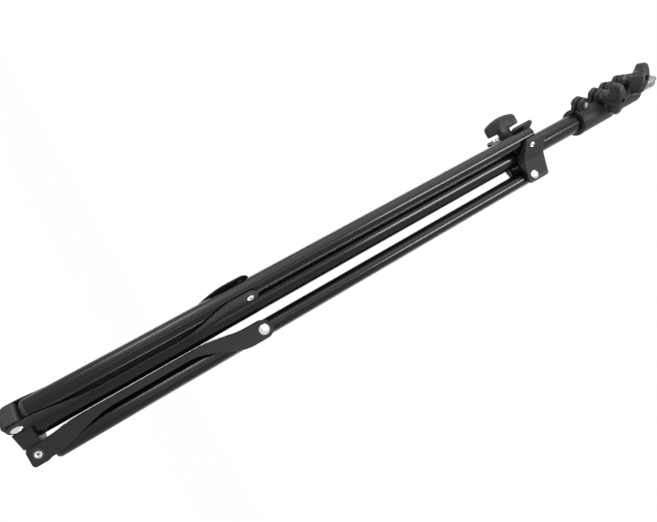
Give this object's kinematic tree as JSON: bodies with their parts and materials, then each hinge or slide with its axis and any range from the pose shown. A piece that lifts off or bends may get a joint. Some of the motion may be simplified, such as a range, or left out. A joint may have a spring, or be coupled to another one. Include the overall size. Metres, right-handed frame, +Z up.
{
  "type": "light stand",
  "caption": "Folded tripod light stand: telescoping column with wing-knob clamps, legs on a sliding collar braced by pressed stays, and a fitting stud on top.",
  "frame": {"origin": "on the column's axis, in the plane of the spider's underside and the foot plug", "axes": "+Z up the column towards the stud, +X towards leg a, the collar's knob at -X"},
  "size_m": [0.0802, 0.0817, 0.7892],
  "materials": {
    "tube_black": "gloss",
    "moulded_black": "satin",
    "bush_plastic": "matte",
    "stay_black": "satin",
    "rivet_nickel": "polished",
    "bolt_zinc": "satin",
    "stud_nickel": "polished",
    "brake_plastic": "matte"
  },
  "bodies": {
    "column": {"base_tube": "tube_black", "base_plug": "bush_plastic", "spider": "moulded_black", "spider_rivets": "rivet_nickel", "clamp_1_body": "moulded_black", "clamp_1_fixing_bolt": "bolt_zinc", "clamp_1_nut": "bolt_zinc"},
    "middle_section": {"mid_tube": "tube_black", "mid_tube_bush": "bush_plastic", "clamp_2_body": "moulded_black", "clamp_2_fixing_bolt": "bolt_zinc", "clamp_2_nut": "bolt_zinc"},
    "top_section": {"top_tube": "tube_black", "top_tube_bush": "bush_plastic", "stud": "stud_nickel", "stud_pin": "bolt_zinc"},
    "sliding_collar": {"collar": "moulded_black", "collar_brake_pad": "brake_plastic", "collar_rivets": "rivet_nickel"},
    "collar_lock": {"collar_knob": "moulded_black", "collar_knob_bolt": "bolt_zinc"},
    "clamp_1_lock": {"clamp_1_knob": "moulded_black", "clamp_1_knob_bolt": "bolt_zinc"},
    "clamp_2_lock": {"clamp_2_knob": "moulded_black", "clamp_2_knob_bolt": "bolt_zinc"},
    "stay_a_arm": {"stay_a": "stay_black"},
    "leg_a_arm": {"leg_a": "tube_black", "leg_cap_a": "bush_plastic", "mid_rivet_a": "rivet_nickel"},
    "stay_b_arm": {"stay_b": "stay_black"},
    "leg_b_arm": {"leg_b": "tube_black", "leg_cap_b": "bush_plastic", "mid_rivet_b": "rivet_nickel"},
    "stay_c_arm": {"stay_c": "stay_black"},
    "leg_c_arm": {"leg_c": "tube_black", "leg_cap_c": "bush_plastic", "mid_rivet_c": "rivet_nickel"}
  },
  "joints": [
    {"name": "collar_slide", "type": "slide", "parent": "column", "child": "sliding_collar", "axis": [0, 0, -1], "range_m": [0, 0.16609]},
    {"name": "mid_tube_slide", "type": "slide", "parent": "column", "child": "middle_section", "axis": [0, 0, 1], "range_m": [0, 0.55]},
    {"name": "top_tube_slide", "type": "slide", "parent": "middle_section", "child": "top_section", "axis": [0, 0, 1], "range_m": [0, 0.55]},
    {"name": "stay_a_hinge", "type": "hinge", "parent": "column", "child": "stay_a_arm", "pos_m": [0.0225, 0, 0.008], "axis": [0, 1, 0], "range_deg": [0, 64.05]},
    {"name": "leg_a_hinge", "type": "hinge", "parent": "stay_a_arm", "child": "leg_a_arm", "pos_m": [0.0264, 0, 0.2085], "axis": [0, -1, 0], "range_deg": [0, 95.75]},
    {"name": "stay_b_hinge", "type": "hinge", "parent": "column", "child": "stay_b_arm", "pos_m": [-0.01125, -0.01949, 0.008], "axis": [0.866, -0.5, 0], "range_deg": [0, 64.05]},
    {"name": "leg_b_hinge", "type": "hinge", "parent": "stay_b_arm", "child": "leg_b_arm", "pos_m": [-0.0132, -0.02286, 0.2085], "axis": [-0.866, 0.5, 0], "range_deg": [0, 95.75]},
    {"name": "stay_c_hinge", "type": "hinge", "parent": "column", "child": "stay_c_arm", "pos_m": [-0.01125, 0.01949, 0.008], "axis": [-0.866, -0.5, 0], "range_deg": [0, 64.05]},
    {"name": "leg_c_hinge", "type": "hinge", "parent": "stay_c_arm", "child": "leg_c_arm", "pos_m": [-0.0132, 0.02286, 0.2085], "axis": [0.866, 0.5, 0], "range_deg": [0, 95.75]},
    {"name": "collar_knob_turn", "type": "hinge", "parent": "sliding_collar", "child": "collar_lock", "pos_m": [-0.025, 0, 0.5475], "axis": [-1, 0, 0], "range_deg": [0, 270]},
    {"name": "clamp_1_knob_turn", "type": "hinge", "parent": "column", "child": "clamp_1_lock", "pos_m": [-0.01597, -0.01204, 0.6785], "axis": [0.6018, -0.7986, 0], "range_deg": [0, 270]},
    {"name": "clamp_2_knob_turn", "type": "hinge", "parent": "middle_section", "child": "clamp_2_lock", "pos_m": [-0.01691, -0.00616, 0.7282], "axis": [0.342, -0.9397, 0], "range_deg": [0, 270]}
  ],
  "couplings": [
    {"joint": "stay_a_hinge", "follows": "collar_slide", "rad_per_m": 6.7255},
    {"joint": "leg_a_hinge", "follows": "collar_slide", "rad_per_m": 10.057},
    {"joint": "stay_b_hinge", "follows": "collar_slide", "rad_per_m": 6.7255},
    {"joint": "leg_b_hinge", "follows": "collar_slide", "rad_per_m": 10.057},
    {"joint": "stay_c_hinge", "follows": "collar_slide", "rad_per_m": 6.7255},
    {"joint": "leg_c_hinge", "follows": "collar_slide", "rad_per_m": 10.057}
  ]
}
